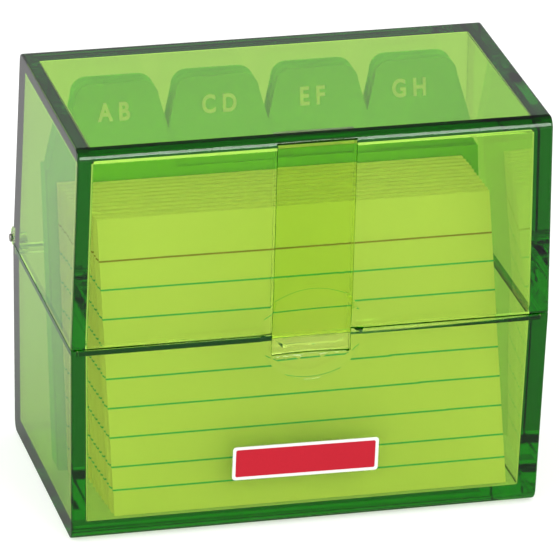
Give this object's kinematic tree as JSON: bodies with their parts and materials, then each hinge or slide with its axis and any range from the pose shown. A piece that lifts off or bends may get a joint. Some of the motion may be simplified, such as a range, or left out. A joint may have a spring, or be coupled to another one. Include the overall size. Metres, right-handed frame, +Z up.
{
  "type": "index card box",
  "caption": "Clear two-shell index card box with a lid on rear pins, a front latch tongue, a thumb dish, ruled cards and tabbed dividers.",
  "frame": {"origin": "centre of the bounding box at the table, under the base", "axes": "+X to the right along the front, +Y towards the hinge at the back, +Z up"},
  "size_m": [0.0896, 0.0526, 0.0764],
  "materials": {
    "base_plastic": "clear tinted polystyrene, polished",
    "hinge_pin_left_steel": "drawn steel wire",
    "hinge_pin_right_steel": "drawn steel wire",
    "lid_plastic": "clear tinted polystyrene, polished",
    "tongue_plastic": "clear tinted polystyrene, polished",
    "front_card_paper": "matt card",
    "card_bundle_01_paper": "matt card",
    "card_bundle_02_paper": "matt card",
    "card_bundle_03_paper": "matt card",
    "card_bundle_04_paper": "matt card",
    "card_bundle_05_paper": "matt card",
    "card_bundle_06_paper": "matt card",
    "card_bundle_07_paper": "matt card",
    "card_bundle_08_paper": "matt card",
    "card_bundle_09_paper": "matt card",
    "card_bundle_10_paper": "matt card",
    "divider_ab_paper": "matt dyed card",
    "divider_cd_paper": "matt dyed card",
    "divider_ef_paper": "matt dyed card",
    "divider_gh_paper": "matt dyed card",
    "divider_ij_paper": "matt dyed card",
    "divider_kl_paper": "matt dyed card",
    "divider_mn_paper": "matt dyed card",
    "divider_op_paper": "matt dyed card",
    "divider_qr_paper": "matt dyed card",
    "divider_st_paper": "matt dyed card",
    "divider_uv_paper": "matt dyed card",
    "divider_wxyz_paper": "matt dyed card"
  },
  "bodies": {
    "base": {"base_shell": "base_plastic", "hinge_pin_left": "hinge_pin_left_steel", "hinge_pin_right": "hinge_pin_right_steel"},
    "lid": {"lid_shell": "lid_plastic"},
    "tongue": {"latch_tongue": "tongue_plastic"},
    "front_card": {"front_card": "front_card_paper"},
    "bundle_01": {"card_bundle_01": "card_bundle_01_paper"},
    "bundle_02": {"card_bundle_02": "card_bundle_02_paper"},
    "bundle_03": {"card_bundle_03": "card_bundle_03_paper"},
    "bundle_04": {"card_bundle_04": "card_bundle_04_paper"},
    "bundle_05": {"card_bundle_05": "card_bundle_05_paper"},
    "bundle_06": {"card_bundle_06": "card_bundle_06_paper"},
    "bundle_07": {"card_bundle_07": "card_bundle_07_paper"},
    "bundle_08": {"card_bundle_08": "card_bundle_08_paper"},
    "bundle_09": {"card_bundle_09": "card_bundle_09_paper"},
    "bundle_10": {"card_bundle_10": "card_bundle_10_paper"},
    "dividers_front": {"divider_ab": "divider_ab_paper", "divider_cd": "divider_cd_paper", "divider_ef": "divider_ef_paper", "divider_gh": "divider_gh_paper"},
    "dividers_middle": {"divider_ij": "divider_ij_paper", "divider_kl": "divider_kl_paper", "divider_mn": "divider_mn_paper", "divider_op": "divider_op_paper"},
    "dividers_rear": {"divider_qr": "divider_qr_paper", "divider_st": "divider_st_paper", "divider_uv": "divider_uv_paper", "divider_wxyz": "divider_wxyz_paper"}
  },
  "joints": [
    {"name": "lid_hinge", "type": "hinge", "parent": "base", "child": "lid", "pos_m": [0, 0.02485, 0.03835], "axis": [-1, 0, 0], "range_deg": [0, 180]},
    {"name": "latch_flex", "type": "hinge", "parent": "lid", "child": "tongue", "pos_m": [0, -0.02435, 0.0747], "axis": [-1, 0, 0], "range_deg": [0, 3], "stiffness_Nm_per_rad": 1.5},
    {"name": "front_card_tilt", "type": "hinge", "parent": "base", "child": "front_card", "pos_m": [0.0017, -0.02235, 0.0033], "axis": [1, 0, 0], "range_deg": [0, 18.37]},
    {"name": "bundle_01_tilt", "type": "hinge", "parent": "base", "child": "bundle_01", "pos_m": [0.00155, -0.02115, 0.0033], "axis": [1, 0, 0], "range_deg": [0, 17]},
    {"name": "bundle_02_tilt", "type": "hinge", "parent": "base", "child": "bundle_02", "pos_m": [0.0014, -0.01931, 0.0033], "axis": [1, 0, 0], "range_deg": [0, 15.88]},
    {"name": "bundle_03_tilt", "type": "hinge", "parent": "base", "child": "bundle_03", "pos_m": [0.00125, -0.01747, 0.0033], "axis": [1, 0, 0], "range_deg": [0, 14.74]},
    {"name": "bundle_04_tilt", "type": "hinge", "parent": "base", "child": "bundle_04", "pos_m": [0.0011, -0.01563, 0.0033], "axis": [1, 0, 0], "range_deg": [0, 13.61]},
    {"name": "bundle_05_tilt", "type": "hinge", "parent": "base", "child": "bundle_05", "pos_m": [0.00095, -0.01379, 0.0033], "axis": [1, 0, 0], "range_deg": [0, 12.48]},
    {"name": "bundle_06_tilt", "type": "hinge", "parent": "base", "child": "bundle_06", "pos_m": [0.0008, -0.01195, 0.0033], "axis": [1, 0, 0], "range_deg": [0, 11.34]},
    {"name": "bundle_07_tilt", "type": "hinge", "parent": "base", "child": "bundle_07", "pos_m": [0.00065, -0.01011, 0.0033], "axis": [1, 0, 0], "range_deg": [0, 10.21]},
    {"name": "bundle_08_tilt", "type": "hinge", "parent": "base", "child": "bundle_08", "pos_m": [0.0005, -0.00827, 0.0033], "axis": [1, 0, 0], "range_deg": [0, 9.08]},
    {"name": "bundle_09_tilt", "type": "hinge", "parent": "base", "child": "bundle_09", "pos_m": [0.00035, -0.00643, 0.0033], "axis": [1, 0, 0], "range_deg": [0, 7.94]},
    {"name": "bundle_10_tilt", "type": "hinge", "parent": "base", "child": "bundle_10", "pos_m": [0.0002, -0.00459, 0.0033], "axis": [1, 0, 0], "range_deg": [0, 6.81]},
    {"name": "dividers_front_tilt", "type": "hinge", "parent": "base", "child": "dividers_front", "pos_m": [0.0009, -0.00316, 0.0033], "axis": [1, 0, 0], "range_deg": [0, 6.13]},
    {"name": "dividers_middle_tilt", "type": "hinge", "parent": "base", "child": "dividers_middle", "pos_m": [0.0009, -0.00116, 0.0033], "axis": [1, 0, 0], "range_deg": [0, 5.62]},
    {"name": "dividers_rear_tilt", "type": "hinge", "parent": "base", "child": "dividers_rear", "pos_m": [0.0009, 0.00084, 0.0033], "axis": [1, 0, 0], "range_deg": [0, 5.11]}
  ],
  "couplings": [
    {"joint": "front_card_tilt", "follows": "bundle_01_tilt", "ratio": 1.08},
    {"joint": "bundle_02_tilt", "follows": "bundle_01_tilt", "ratio": 0.9333},
    {"joint": "bundle_03_tilt", "follows": "bundle_01_tilt", "ratio": 0.8667},
    {"joint": "bundle_04_tilt", "follows": "bundle_01_tilt", "ratio": 0.8},
    {"joint": "bundle_05_tilt", "follows": "bundle_01_tilt", "ratio": 0.7333},
    {"joint": "bundle_06_tilt", "follows": "bundle_01_tilt", "ratio": 0.6667},
    {"joint": "bundle_07_tilt", "follows": "bundle_01_tilt", "ratio": 0.6},
    {"joint": "bundle_08_tilt", "follows": "bundle_01_tilt", "ratio": 0.5333},
    {"joint": "bundle_09_tilt", "follows": "bundle_01_tilt", "ratio": 0.4667},
    {"joint": "bundle_10_tilt", "follows": "bundle_01_tilt", "ratio": 0.4},
    {"joint": "dividers_front_tilt", "follows": "bundle_01_tilt", "ratio": 0.36},
    {"joint": "dividers_middle_tilt", "follows": "bundle_01_tilt", "ratio": 0.33},
    {"joint": "dividers_rear_tilt", "follows": "bundle_01_tilt", "ratio": 0.3}
  ]
}
